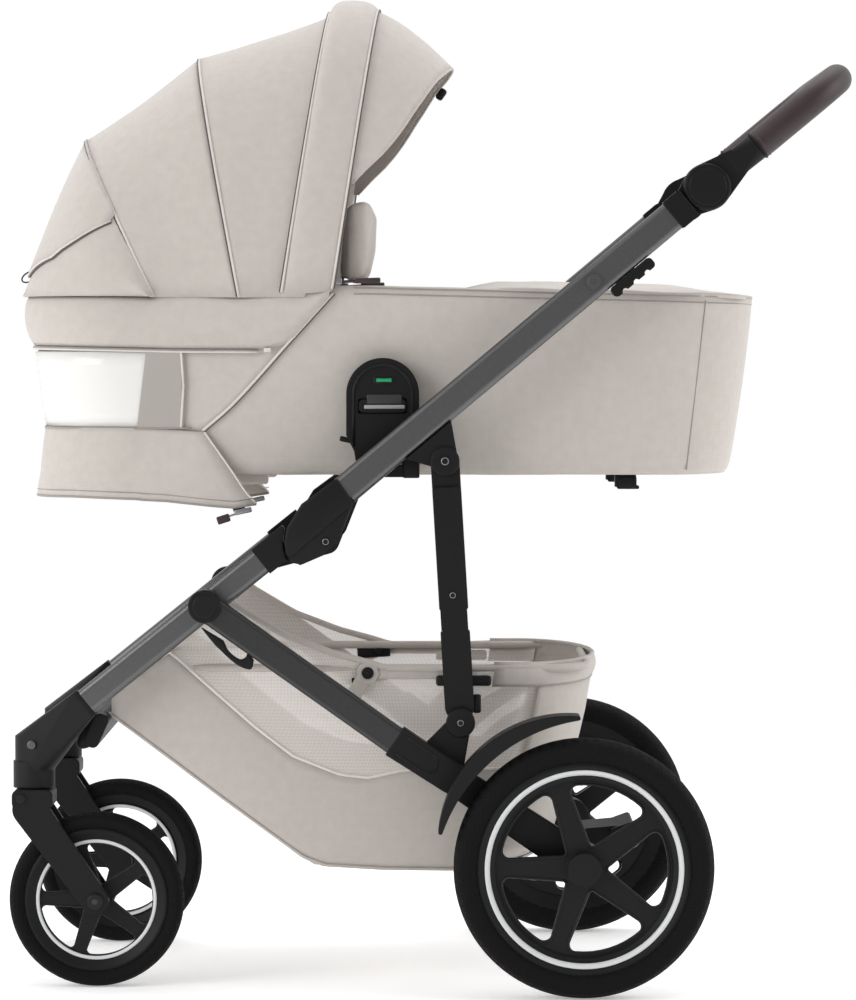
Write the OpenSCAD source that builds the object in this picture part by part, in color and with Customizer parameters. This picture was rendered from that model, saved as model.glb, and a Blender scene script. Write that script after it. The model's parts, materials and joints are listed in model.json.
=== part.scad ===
// Baby stroller: a folding frame on four wheels that carries a lift-off carrycot with a hood.
// Millimetres. Origin on the floor under the middle. +X to the rear (handle), +Z up, left side is -Y.

/* [Wheels] */
// radius of the rear wheels
rear_r = 145; // [135:1:147]
// width of the rear tyres
rear_w = 48; // [40:1:48]
// radius of the front wheels
front_r = 99; // [90:1:100]
// width of the front tyres
front_w = 36; // [28:1:38]

/* [Frame] */
// depth of the frame tubes
tube_depth = 34; // [28:1:36]
// wall of the frame tubes
tube_wall = 1.8; // [1.2:0.1:3]
// radius of the grip
grip_r = 17; // [13:1:18]
// radius of the bend at each end of the grip
grip_bend = 55; // [40:1:80]

/* [Carrycot] */
// half width of the carrycot at its rim
cot_half = 185; // [175:1:186]
// radius of the carrycot's corners in plan
cot_corner = 110; // [70:5:140]
// thickness of the carrycot's padded wall
cot_wall = 8; // [6:1:12]
// half width of the basket
basket_half = 200; // [170:1:200]

/* [Hidden] */

// side planes, as distances from the middle
tube_in = 217;
tube_out = 239;
tube_mid = 228;
leg_in = 240;
leg_out = 259;
rear_mid = 277;
front_mid = 185;
fit = 0.06;

// points in the side view, as [x, z]
fold_pivot = [-123.3, 506];
leg_pivot = [-257.6, 434.7];
front_low = [-391.4, 326.4];
front_high = [-196, 483.4];
push_low = [-102.5, 562.7];
push_high = [263.6, 869.1];
hinge = [302.6, 901.6];
strut_top = [10, 595.9];
strut_low = [27.5, 303.5];
leg_end = [-46, 284.4];
rear_axle_at = [164.4, 145];
front_axle_at = [-384, 99];
caster_x = -454.6;
hood_pivot = [-240, 802];
grip_u = 193.5;
tongue = 198;
grip_start = 72;

$fn = 64;

black = [0.09, 0.09, 0.1];
metal = [0.5, 0.5, 0.52];
taupe = [0.76, 0.73, 0.69];
brown = [0.36, 0.25, 0.24];

function slope(p, q) = atan2(q[1] - p[1], q[0] - p[0]);
function along(p, q, t) = [p[0] + (q[0] - p[0]) * t, p[1] + (q[1] - p[1]) * t];
function turn(r, a) = [r * cos(a), r * sin(a)];

// a flat shape drawn in X and Z, from y_in to y_out on one side
module slab(side, y_in, y_out) {
    translate([0, side > 0 ? y_out : -y_in, 0])
        rotate([90, 0, 0])
            linear_extrude(y_out - y_in)
                children();
}

// a round bar along Y from y_in to y_out on one side
module bar(side, at, r, y_in, y_out) {
    translate([at[0], side > 0 ? y_out : -y_in, at[1]])
        rotate([90, 0, 0])
            cylinder(h = y_out - y_in, r = r);
}

// a round rod between two points
module rod(p, q, r) {
    d = q - p;
    translate(p)
        rotate([0, acos(d[2] / norm(d)), atan2(d[1], d[0])])
            cylinder(h = norm(d), r = r);
}

module round_rect(w, d, r) {
    square([w - 2 * r, d], center = true);
    square([w, d - 2 * r], center = true);
    for (x = [-1, 1], y = [-1, 1])
        translate([x * (w / 2 - r), y * (d / 2 - r)])
            circle(r = r, $fn = 32);
}

module blob(p, r) {
    translate(p)
        circle(r = r, $fn = 48);
}

// a straight bar in a side plane, of the section given
module straight(side, mid, p, q) {
    translate([p[0], side * mid, p[1]])
        rotate([0, 90 - slope(p, q), 0])
            linear_extrude(norm(q - p))
                children();
}

// a hollow flattened tube in a side plane
module frame_tube(side, mid, p, q, depth, width) {
    straight(side, mid, p, q)
        difference() {
            round_rect(depth, width, 7);
            round_rect(depth - 2 * tube_wall, width - 2 * tube_wall, 5.2);
        }
}

// ---- front frame ----

module front_tube(side) {
    frame_tube(side, tube_mid, front_low, front_high, tube_depth - 4, tube_out - tube_in);
}

// collar on the end of the front tube, with a tongue that carries the eye the fold turns on
module front_collar(side) {
    difference() {
        union() {
            difference() {
                slab(side, tube_in, tube_out)
                    translate(front_high)
                        rotate(slope(front_low, front_high))
                            translate([0, -tube_depth / 2])
                                square([44, tube_depth]);
                bar(side, fold_pivot, 48, tube_in - 1, tube_out + 1);
            }
            slab(side, 224.3, 231.7)
                hull() {
                    blob(fold_pivot, 9);
                    blob(fold_pivot + turn(54, tongue), 9);
                }
        }
        bar(side, fold_pivot, 4 + fit, 220, 236);
    }
}

// casting at the foot of the front tube, with the upright bore of the caster
module caster_housing(side) {
    difference() {
        union() {
            hull() {
                translate([caster_x, side * front_mid, 244])
                    cylinder(h = 40, r = 21.5, $fn = 48);
                slab(side, tube_in, tube_out)
                    translate(along(front_low, front_high, -0.012))
                        rotate(slope(front_low, front_high))
                            square([5, 34], center = true);
            }
            translate([caster_x, side * front_mid, 226])
                cylinder(h = 30, r = 23.5);
        }
        translate([caster_x, side * front_mid, 220])
            cylinder(h = 56, r = 7 + fit);
    }
}

module front_crossbar() {
    translate([-383, 0, 291])
        rotate([90, 0, 0])
            linear_extrude(404, center = true)
                rotate(-24)
                    round_rect(17, 40, 7);
}

// the pin and cap each rear leg turns on
module leg_pivot(side) {
    bar(side, leg_pivot, 6, tube_out, 263);
    bar(side, leg_pivot, 17, 260, 263.5);
}

// plate behind the fold housing, with the upright post the carrycot drops onto
module cot_support(side) {
    difference() {
        union() {
            slab(side, 206, 216.4) {
                hull() {
                    blob(fold_pivot + turn(60, tongue), 12);
                    blob(fold_pivot, 15);
                }
                hull() {
                    blob(fold_pivot, 15);
                    blob([-98, 562], 12);
                }
                hull() {
                    blob([-98, 562], 12);
                    blob([-60, 590], 11);
                }
            }
            slab(side, 216.4, tube_in)
                blob(fold_pivot + turn(60, tongue), 9);
        }
        bar(side, fold_pivot, 8 + fit, 200, 220);
    }
    slab(side, 188, 206)
        translate([-90, 577])
            square([64, 14]);
    translate([-60, side * 195, 591])
        cylinder(h = 32, r = 6);
}

// ---- basket ----

basket_rear = 70;
basket_outline = [[-366, 322], [-141, 140], [-126, 134], [118, 134], [131, 150], [164, 265], [184, 367],
    [-366, 367]];
basket_inside = [[-358, 325], [-138, 145], [-124, 139], [116, 139], [126, 152], [159, 266], [179, 370],
    [-358, 370]];

// the basket's plan as an upright prism: square in front, round corners at the rear
module basket_plan(inset) {
    half = basket_half - inset;
    corner = 186 - basket_rear;
    flat = basket_half - basket_rear;
    translate([-400, -half, 0])
        cube([400 + corner, 2 * half, 420]);
    translate([corner - 1, -flat, 0])
        cube([basket_rear + 1 - inset, 2 * flat, 420]);
    for (y = [-flat, flat])
        translate([corner, y, 0])
            cylinder(h = 420, r = basket_rear - inset);
}

module basket() {
    difference() {
        intersection() {
            slab(1, -basket_half, basket_half)
                polygon(basket_outline);
            basket_plan(0);
        }
        intersection() {
            slab(1, 4 - basket_half, basket_half - 4)
                polygon(basket_inside);
            basket_plan(4);
        }
        for (s = [-1, 1])
            bar(s, [-345, 361], 5.5, basket_half - 6, basket_half + 2);
    }
}

// rod inside the basket's hem, held by the front tubes
module basket_frame() {
    half = basket_half - 9.2;
    bend = basket_rear - 9.2;
    corner = 181 - basket_rear;
    for (s = [-1, 1]) {
        rod([-345, s * (half - 4), 361], [-345, s * tube_in, 361], 5);
        rod([-350, s * half, 361], [corner, s * half, 361], 4.5);
        translate([corner, s * (half - bend), 361])
            rotate([0, 0, s > 0 ? 0 : -90])
                rotate_extrude(angle = 90)
                    translate([bend, 0]) circle(r = 4.5, $fn = 24);
    }
    rod([corner + bend, bend - half, 361], [corner + bend, half - bend, 361], 4.5);
}

// ---- push frame ----

housing_outline = [[-111.5, 576], [-90.6, 551], [-104, 520], [-112, 498], [-122, 492.5], [-152, 479.5],
    [-166.5, 491], [-166.8, 520], [-150, 548]];

// housing at the foot of the push tube: two cheeks around the eye, and the fold pin
module fold_housing(side) {
    lift = turn(9.6, tongue - 90);
    difference() {
        slab(side, tube_in, tube_out)
            polygon(housing_outline);
        slab(side, 224, 232) {
            blob(fold_pivot, 9.6);
            translate(fold_pivot)
                polygon([lift, turn(60, tongue) + lift, [-60, -60], [60, -60], [60, -1], [2, 9.5]]);
        }
    }
    bar(side, fold_pivot, 4, 223, 233);
    bar(side, fold_pivot, 5, tube_out - 1, 241);
}

module fold_crossbar() {
    translate([fold_pivot[0], tube_in, fold_pivot[1]])
        rotate([90, 0, 0])
            cylinder(h = 2 * tube_in, r = 8);
}

// tube that runs up to the handle, with the boss that an accessory clips onto
module push_tube(side) {
    frame_tube(side, tube_mid, push_low, push_high, tube_depth, tube_out - tube_in);
    bar(side, [175.3, 795.9], 9, tube_out - 1, tube_out + 3.5);
}

// fork under the push tube, with the pin of the strut
module strut_bracket(side) {
    a = slope(push_low, push_high);
    top = turn(29.8, a + 90);
    difference() {
        slab(side, tube_in, tube_out)
            translate(strut_top) {
                polygon([top - turn(32, a), top + turn(34, a), [14, 6], [-12, -7]]);
                circle(r = 14);
            }
        slab(side, 221, 235)
            translate(strut_top) {
                circle(r = 20);
                polygon([[0, 20], [-20, 0], [-40, -30], [30, -30], [30, 20]]);
            }
    }
    bar(side, strut_top, 4, 220, 236);
}

// sleeve at the head of the push tube, with the pin the handle turns on
module handle_hinge(side) {
    a = slope(push_low, push_high);
    slab(side, 215, 241)
        translate(push_high)
            rotate(a)
                translate([12, 0])
                    round_rect(24, 37, 3);
    slab(side, 213, 223.8)
        hull() {
            blob(hinge, 26.5);
            translate(push_high) rotate(a) translate([22, 0]) square([2, 33], center = true);
        }
    bar(side, hinge, 7, 223, 234.7);
}

// notched pull lever under the push tube
module fold_lever(side) {
    slab(side, 219, 237)
        translate([218, 803])
            rotate(slope(push_low, push_high))
                difference() {
                    translate([0, -2.6])
                        round_rect(58, 13, 5);
                    for (x = [-16, 0, 16])
                        translate([x, -10])
                            circle(r = 4, $fn = 24);
                }
}

// ---- handle, drawn along its own slope from the hinge ----

module on_handle() {
    translate([hinge[0], 0, hinge[1]])
        rotate([0, -39.6, 0])
            children();
}

module handle_arms() {
    on_handle()
        for (s = [-1, 1]) {
            difference() {
                slab(s, 224, 235)
                    hull() {
                        circle(r = 26.5);
                        translate([46, 0]) square([2, 30], center = true);
                    }
                bar(s, [0, 0], 7 + fit, 220, 240);
            }
            bar(s, [0, 0], 12, 235, 237);
            hull() {
                slab(s, 213, 235)
                    translate([37, 0]) square([2, 30], center = true);
                rod([grip_start - 1, s * 224, 0], [grip_start, s * 224, 0], grip_r - 1);
            }
        }
}

module handle_grip() {
    reach = grip_u - grip_bend;
    half = 224 - grip_bend;
    on_handle() {
        for (s = [-1, 1]) {
            rod([grip_start, s * 224, 0], [reach, s * 224, 0], grip_r);
            translate([reach, s * half, 0])
                rotate([0, 0, s > 0 ? 0 : -90])
                    rotate_extrude(angle = 90)
                        translate([grip_bend, 0]) circle(r = grip_r, $fn = 40);
        }
        rod([grip_u, -half, 0], [grip_u, half, 0], grip_r);
    }
}

// ---- struts ----

module strut(side) {
    a = slope(strut_top, strut_low);
    difference() {
        slab(side, 221.5, 234.5)
            hull() {
                blob(strut_top, 16.2);
                blob(along(strut_top, strut_low, 0.1), 16.2);
            }
        bar(side, strut_top, 4 + fit, 218, 238);
    }
    difference() {
        slab(side, 217.5, 238.5) {
            translate(strut_top) rotate(a) translate([98, 0]) round_rect(138, 32.5, 3);
            translate(strut_top) rotate(a) translate([178, 0]) square([26, 28], center = true);
            translate(strut_top) rotate(a) translate([233, 0]) round_rect(86, 33, 3);
            blob(along(strut_top, strut_low, 0.94), 16.5);
        }
        bar(side, strut_top, 24, 210, 245);
    }
}

// ---- rear frame ----

module rear_legs() {
    width = leg_out - leg_in - 1;
    for (s = [-1, 1]) {
        mid = (leg_in + leg_out) / 2;
        difference() {
            union() {
                bar(s, leg_pivot, 18.5, leg_in, leg_out);
                straight(s, mid, along(leg_pivot, leg_end, 0.03), leg_end)
                    round_rect(tube_depth - 2, width, 5);
            }
            straight(s, mid, along(leg_pivot, leg_end, 0.13), along(leg_pivot, leg_end, 1.02))
                square([tube_depth - 2 - 3 * tube_wall, width - 3 * tube_wall], center = true);
            bar(s, leg_pivot, 6 + fit, 230, 270);
        }
    }
}

// casting from the leg down to the axle: outboard above, then inboard of the wheel, with the strut's lug
module rear_casting(side) {
    a = slope(leg_end, rear_axle_at);
    bend = along(leg_end, rear_axle_at, 0.3);
    slab(side, leg_in, leg_out)
        hull() {
            translate(leg_end) rotate(a) translate([1, 0]) square([2, 37], center = true);
            blob(bend, 17);
        }
    slab(side, leg_in, 243)
        hull() {
            blob(strut_low, 12);
            blob(along(leg_end, rear_axle_at, 0.16), 13);
            blob(bend, 12);
        }
    slab(side, leg_in, 251)
        hull() {
            blob(bend, 17);
            blob(rear_axle_at, 21);
        }
    bar(side, rear_axle_at, 24, 226, 251);
    bar(side, rear_axle_at, 7, 251, 299);
}

module rear_axle() {
    translate([rear_axle_at[0], 226, rear_axle_at[1]])
        rotate([90, 0, 0])
            cylinder(h = 452, r = 11);
}

// a crescent guard over the front of each rear wheel
module mudguards() {
    for (s = [-1, 1])
        slab(s, leg_out, 299)
            translate(rear_axle_at)
                offset(r = 2.5)
                    offset(delta = -2.5)
                        difference() {
                            translate(turn(31, 124)) circle(r = 145.5, $fn = 120);
                            translate(turn(33, 315)) circle(r = 191.5, $fn = 160);
                        }
}

module brake_pedal() {
    translate([rear_axle_at[0], 0, rear_axle_at[1]])
        difference() {
            union() {
                slab(1, -45, 45)
                    hull() {
                        circle(r = 17);
                        translate([56, 16]) circle(r = 6);
                    }
                slab(1, -55, 55)
                    translate([52, 18]) rotate(20) round_rect(30, 9, 4);
            }
            bar(1, [0, 0], 11 + fit, -60, 60);
        }
}

// ---- wheels ----

// a rim about its own Z axis: bead ring, hub and five broad spokes; bore of radius b
module rim(r, w, hub, b) {
    difference() {
        union() {
            rotate_extrude($fn = 96)
                polygon([[r * 0.7, -w * 0.2], [r * 0.82, -w * 0.36], [r * 0.82, w * 0.36],
                    [r * 0.79, w * 0.4], [r * 0.68, w * 0.24]]);
            linear_extrude(w * 0.34, center = true)
                difference() {
                    circle(r = r * 0.72, $fn = 96);
                    for (k = [0:4])
                        rotate(71.5 + 72 * k)
                            hull() {
                                for (t = [-23:5.75:23])
                                    rotate(t)
                                        translate([r * 0.585, 0]) circle(r = r * 0.065, $fn = 24);
                                translate([r * 0.205, 0]) circle(r = r * 0.03, $fn = 24);
                            }
                }
            translate([0, 0, -w * 0.46])
                cylinder(h = w * 0.92, r = hub);
        }
        translate([0, 0, -w])
            cylinder(h = 2 * w, r = b);
    }
}

module tyre(r, w) {
    rotate_extrude($fn = 96)
        polygon([[r * 0.82, -w * 0.36], [r * 0.9, -w * 0.5], [r * 0.95, -w * 0.47], [r * 0.985, -w * 0.3],
            [r, -w * 0.12], [r, w * 0.12], [r * 0.985, w * 0.3], [r * 0.95, w * 0.47], [r * 0.9, w * 0.5],
            [r * 0.82, w * 0.36]]);
}

// puts a wheel drawn about Z onto its axle, with its face outward
module on_axle(side, at, mid) {
    translate([at[0], side * mid, at[1]])
        rotate([side > 0 ? -90 : 90, 0, 0])
            children();
}

module rear_rim(side) {
    on_axle(side, rear_axle_at, rear_mid) rim(rear_r, rear_w, 19, 7 + fit);
}

module rear_tyre(side) {
    on_axle(side, rear_axle_at, rear_mid) tyre(rear_r, rear_w);
}

module front_rim(side) {
    on_axle(side, front_axle_at, front_mid) rim(front_r, front_w, 13, 5 + fit);
}

module front_tyre(side) {
    on_axle(side, front_axle_at, front_mid) tyre(front_r, front_w);
}

module caster_fork(side) {
    crown = [caster_x - 3, 203];
    for (y = [156.5, 205])
        slab(side, y, y + 8)
            hull() {
                blob(front_axle_at, 15.5);
                blob(crown, 19.5);
            }
    slab(side, 156.5, 213)
        translate([caster_x, 214])
            round_rect(46, 22, 7);
    translate([caster_x, side * front_mid, 224])
        cylinder(h = 50, r = 7);
    bar(side, front_axle_at, 5, 164, 206);
    bar(side, front_axle_at, 9, 213, 215);
}

// ---- carrycot ----

// rounded rectangle in plan, from x0 to x1, as a thin layer at height z
module layer(x0, x1, half, r, z) {
    for (x = [x0 + r, x1 - r], y = [r - half, half - r])
        translate([x, y, z])
            cylinder(h = 2, r = r, $fn = 48);
}

module cot_body() {
    w = cot_wall;
    difference() {
        hull() {
            layer(-438, 337, cot_half - 16, cot_corner - 10, 578);
            layer(-466, 364, cot_half, cot_corner, 778);
        }
        hull() {
            layer(-438 + w, 337 - w, cot_half - 16 - w, cot_corner - 10 - w, 590);
            layer(-466 + w, 364 - w, cot_half - w, cot_corner - w, 779);
        }
    }
}

module cot_rim() {
    difference() {
        hull()
            layer(-470, 367, cot_half + 3, cot_corner, 780);
        translate([0, 0, -1])
            linear_extrude(900)
                translate([-51.5, 0])
                    round_rect(837 - 30, 2 * cot_half - 24, 60);
    }
    difference() {
        hull() {
            layer(-470, 367, cot_half + 3, cot_corner, 781);
            layer(-470, 367, cot_half + 3, cot_corner, 788);
        }
        translate([0, 0, -1])
            linear_extrude(900)
                translate([-51.5, 0])
                    round_rect(837 - 30, 2 * cot_half - 24, 60);
    }
}

module cot_feet() {
    for (foot = [[-222, 569], [204, 564]], y = [-140, 120])
        translate([foot[0], y, foot[1]])
            cube([24, 20, 578 - foot[1]]);
}

module mattress() {
    hull() {
        layer(-415, 315, 150, 85, 590.5);
        layer(-420, 320, 154, 85, 616);
    }
}

// cover over the foot half, lying on the rim
module apron() {
    intersection() {
        hull() {
            layer(-470, 367, cot_half + 3, cot_corner, 790);
            layer(-440, 345, cot_half - 14, cot_corner - 20, 795);
        }
        translate([-80, -300, 700])
            cube([600, 600, 200]);
    }
}

// flap that stands up at the apron's edge, with the rod it turns on
module wind_flap() {
    bar(1, [-84, 801], 2.2, -169, 169);
    difference() {
        slab(1, -164, 164)
            polygon([[-104, 798], [-81, 798], [-80, 896], [-88, 898]]);
        slab(1, -156, 156)
            polygon([[-120, 790], [-88, 790], [-92, 890], [-120, 890]]);
    }
}

shield_outline = [[-101, 670], [-101, 624], [-92, 606], [-90, 592], [-26, 592], [-24, 606], [-19, 624],
    [-19, 670]];

// shield on each side of the carrycot, with the bore that takes the post and the pocket of the release
module adapter(side) {
    difference() {
        slab(side, 188.2, 203.5) {
            polygon(shield_outline);
            blob([-60, 670], 41);
        }
        translate([-60, side * 195, 590])
            cylinder(h = 36, r = 6 + fit);
        slab(side, 195, 210)
            translate([-60, 657]) square([54, 16], center = true);
    }
    slab(side, 176, 188.3)
        translate([-60, 690]) round_rect(50, 24, 5);
    bar(side, [-58.5, 685], 4, 203.5, 204.5);
}

module release_bar(side) {
    slab(side, 199, 205.5)
        translate([-60, 657]) round_rect(53, 15, 5);
}

// ---- hood ----

// an upright arch in the YZ plane, standing on z = 0: straight legs and a round top
module arch(half, h, t) {
    rotate([90, 0, 90])
        linear_extrude(t, center = true)
            intersection() {
                union() {
                    translate([0, h - half]) circle(r = half, $fn = 72);
                    translate([-half, 0]) square([2 * half, h - half]);
                }
                translate([-half, 0]) square([2 * half, h + 1]);
            }
}

// tilts an arch so that its foot is at x = foot and its top at [top_x, top_z]
module lean(foot, top) {
    translate([foot, 0, hood_pivot[1] - 6])
        rotate([0, atan2(top[0] - foot, top[1] - hood_pivot[1] + 6), 0])
            children();
}

function arch_h(foot, top) = norm([top[0] - foot, top[1] - hood_pivot[1] + 6]);

front_foot = -145;
front_top = [-92, 1122];
mid_foot = -223;
mid_top = [-273, 1052];
rear_foot = -318;
rear_top = [-405, 962];

// a bow: round wire arch, with an eye on the hood pivot at each end
module bow(foot, top, half) {
    h = arch_h(foot, top) - 6;
    lean(foot, top) {
        for (s = [-1, 1])
            rod([0, s * half, 0], [0, s * half, h - half], 3.5);
        translate([0, 0, h - half])
            rotate([90, 0, 90])
                rotate_extrude(angle = 180)
                    translate([half, 0]) circle(r = 3.5, $fn = 24);
    }
    for (s = [-1, 1])
        difference() {
            slab(s, half - 3, half + 3)
                hull() {
                    blob(hood_pivot, 9);
                    blob([foot, hood_pivot[1] - 4], 4);
                }
            bar(s, hood_pivot, 4 + fit, half - 10, half + 10);
        }
}

// the fixed rear bow, with the pin that the other bows turn on
module hood_bow_rear() {
    bow(rear_foot, rear_top + [2, -5], 160);
    for (s = [-1, 1]) {
        bar(s, hood_pivot, 6, 157, 163);
        bar(s, hood_pivot, 4, 163, 182);
        slab(s, 181, 184)
            hull() {
                blob(hood_pivot, 8);
                translate([hood_pivot[0], 791]) square([22, 2], center = true);
            }
    }
}

// a hollow panel between two leaning arches
module panel(foot_a, top_a, foot_b, top_b, half_a, half_b) {
    t = 4;
    difference() {
        hull() {
            lean(foot_a, top_a) arch(half_a, arch_h(foot_a, top_a), 1);
            lean(foot_b, top_b) arch(half_b, arch_h(foot_b, top_b), 1);
        }
        hull() {
            lean(foot_a, top_a) translate([3, 0, -5]) arch(half_a - t, arch_h(foot_a, top_a) - t + 5, 1);
            lean(foot_b, top_b) translate([-3, 0, -5]) arch(half_b - t, arch_h(foot_b, top_b) - t + 5, 1);
        }
    }
}

module hood_panel_front() {
    panel(front_foot, front_top + [0, 5], mid_foot, mid_top + [0, 5], 192, 191);
}

module hood_panel_rear() {
    panel(mid_foot - 2, mid_top + [-2, 5], rear_foot, rear_top + [0, 5], 191, 180);
    difference() {
        hull() {
            lean(rear_foot - 1, rear_top + [-1, 5]) arch(180, arch_h(rear_foot, rear_top) + 5, 1);
            lean(-472, [-478, 800]) translate([0, 0, 4]) cube([2, 200, 2], center = true);
        }
        hull() {
            lean(rear_foot - 1, rear_top + [-1, 5])
                translate([2, 0, -8]) arch(176, arch_h(rear_foot, rear_top) + 8, 1);
            lean(-466, [-471, 798]) translate([0, 0, -4]) cube([2, 192, 2], center = true);
        }
    }
}

// the peak in front of the front bow
module visor() {
    intersection() {
        slab(1, -200, 200)
            polygon([[-84, 1128], [-68, 1097], [-20, 1080], [20, 1050], [20, 1044], [-7, 995], [-41, 938],
                [-73, 906], [-112, 904]]);
        difference() {
            hull() {
                lean(front_foot, front_top) arch(191, arch_h(front_foot, front_top) - 2, 1);
                translate([22, 0, 796]) arch(160, 250, 1);
            }
            hull() {
                lean(front_foot, front_top)
                    translate([-2, 0, -2]) arch(187, arch_h(front_foot, front_top) - 4, 1);
                translate([24, 0, 794]) arch(156, 248, 1);
            }
        }
        lean(front_foot + 6, front_top + [6, 0])
            translate([0, -300, -50])
                cube([300, 600, 500]);
    }
}

color(metal) front_tube(-1);  // front_tube_left
color(metal) front_tube(1);  // front_tube_right
color(black) front_collar(-1);  // front_collar_left
color(black) front_collar(1);  // front_collar_right
color(black) caster_housing(-1);  // caster_housing_left
color(black) caster_housing(1);  // caster_housing_right
color(black) front_crossbar();
color(black) leg_pivot(-1);  // leg_pivot_left
color(black) leg_pivot(1);  // leg_pivot_right
color(black) cot_support(-1);  // cot_support_left
color(black) cot_support(1);  // cot_support_right
color(taupe) basket();
color(taupe) basket_frame();
color(black) fold_housing(-1);  // fold_housing_left
color(black) fold_housing(1);  // fold_housing_right
color(metal) fold_crossbar();
color(metal) push_tube(-1);  // push_tube_left
color(metal) push_tube(1);  // push_tube_right
color(black) strut_bracket(-1);  // strut_bracket_left
color(black) strut_bracket(1);  // strut_bracket_right
color(black) handle_hinge(-1);  // handle_hinge_left
color(black) handle_hinge(1);  // handle_hinge_right
color(black) fold_lever(-1);  // fold_lever_left
color(black) fold_lever(1);  // fold_lever_right
color(black) handle_arms();
color(brown) handle_grip();
color(black) strut(-1);  // strut_left
color(black) strut(1);  // strut_right
color(metal) rear_legs();
color(black) rear_casting(-1);  // rear_casting_left
color(black) rear_casting(1);  // rear_casting_right
color(metal) rear_axle();
color(black) mudguards();
color(black) brake_pedal();
color(black) rear_rim(-1);  // rear_rim_left
color(black) rear_rim(1);  // rear_rim_right
color(black) rear_tyre(-1);  // rear_tyre_left
color(black) rear_tyre(1);  // rear_tyre_right
color(black) caster_fork(-1);  // caster_fork_left
color(black) caster_fork(1);  // caster_fork_right
color(black) front_rim(-1);  // front_rim_left
color(black) front_rim(1);  // front_rim_right
color(black) front_tyre(-1);  // front_tyre_left
color(black) front_tyre(1);  // front_tyre_right
color(taupe) cot_body();
color(taupe) cot_rim();
color(black) cot_feet();
color(taupe) mattress();
color(taupe) apron();
color(taupe) wind_flap();
color(black) adapter(-1);  // adapter_left
color(black) adapter(1);  // adapter_right
color(black) release_bar(-1);  // release_left
color(black) release_bar(1);  // release_right
color(metal) hood_bow_rear();
color(metal) bow(mid_foot, mid_top, 169);  // hood_bow_mid
color(metal) bow(front_foot, front_top, 177.5);  // hood_bow_front
color(taupe) hood_panel_rear();
color(taupe) hood_panel_front();
color(taupe) visor();
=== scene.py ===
"""Looks for the baby stroller: cloth, piping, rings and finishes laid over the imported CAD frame."""

import json
import math

import bmesh
import bpy
import numpy as np
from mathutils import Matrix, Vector


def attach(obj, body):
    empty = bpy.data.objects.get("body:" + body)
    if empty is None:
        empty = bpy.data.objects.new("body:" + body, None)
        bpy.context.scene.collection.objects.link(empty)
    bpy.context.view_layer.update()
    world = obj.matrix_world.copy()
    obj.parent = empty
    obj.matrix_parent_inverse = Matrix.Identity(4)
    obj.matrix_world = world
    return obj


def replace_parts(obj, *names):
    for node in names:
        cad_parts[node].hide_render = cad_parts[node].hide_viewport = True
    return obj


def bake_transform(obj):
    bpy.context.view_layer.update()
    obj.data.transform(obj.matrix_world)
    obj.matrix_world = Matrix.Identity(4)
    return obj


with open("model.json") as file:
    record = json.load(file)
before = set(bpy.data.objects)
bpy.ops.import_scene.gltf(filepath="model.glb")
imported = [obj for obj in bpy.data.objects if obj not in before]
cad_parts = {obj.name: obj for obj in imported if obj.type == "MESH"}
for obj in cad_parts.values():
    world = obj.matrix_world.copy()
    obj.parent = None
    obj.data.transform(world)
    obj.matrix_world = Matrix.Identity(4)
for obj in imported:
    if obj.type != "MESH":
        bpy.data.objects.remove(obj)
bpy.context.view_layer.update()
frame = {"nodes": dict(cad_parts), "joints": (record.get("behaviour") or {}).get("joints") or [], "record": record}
JOINT = {j["name"]: j for j in frame["joints"]}
SIDES = {"left": -1, "right": 1}


# ---- materials


def new_material(name, color, roughness, metallic=0.0):
    """A Principled material, with its node tree and its shader to build on."""
    mat = bpy.data.materials.new(name)
    mat.use_nodes = True
    shader = mat.node_tree.nodes["Principled BSDF"]
    shader.inputs["Base Color"].default_value = (*color, 1)
    shader.inputs["Roughness"].default_value = roughness
    shader.inputs["Metallic"].default_value = metallic
    return mat, mat.node_tree, shader


def add(tree, kind, **inputs):
    """A node of that kind with the inputs set by name."""
    node = tree.nodes.new(kind)
    for key, value in inputs.items():
        node.inputs[key.replace("_", " ")].default_value = value
    return node


def texture(tree, kind, **inputs):
    """A texture node laid on by the object's own coordinates."""
    node = add(tree, kind, **inputs)
    coords = tree.nodes.new("ShaderNodeTexCoord")
    tree.links.new(coords.outputs["Object"], node.inputs["Vector"])
    return node


def bump_from(tree, shader, height, strength, distance, after=None):
    """Bump from a height, on top of the normal after where there is one."""
    bump = add(tree, "ShaderNodeBump", Strength=strength, Distance=distance)
    tree.links.new(height, bump.inputs["Height"])
    if after is not None:
        tree.links.new(after, bump.inputs["Normal"])
    tree.links.new(bump.outputs["Normal"], shader.inputs["Normal"])
    return bump.outputs["Normal"]


def two_stops(tree, factor, places, colors):
    """A ramp from one colour to another between two places of the factor."""
    node = tree.nodes.new("ShaderNodeValToRGB")
    for stop, place, color in zip(node.color_ramp.elements, places, colors):
        stop.position = place
        stop.color = (*color, 1)
    tree.links.new(factor, node.inputs["Fac"])
    return node.outputs["Color"]


def vary_color(tree, shader, color, scale, amount):
    """Slight cloudy change in the base colour."""
    noise = texture(tree, "ShaderNodeTexNoise", Scale=scale, Detail=4.0)
    darker = [c * (1 - amount) for c in color]
    lighter = [min(1, c * (1 + amount)) for c in color]
    clouds = two_stops(tree, noise.outputs["Fac"], (0.3, 0.7), (darker, lighter))
    tree.links.new(clouds, shader.inputs["Base Color"])


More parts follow.
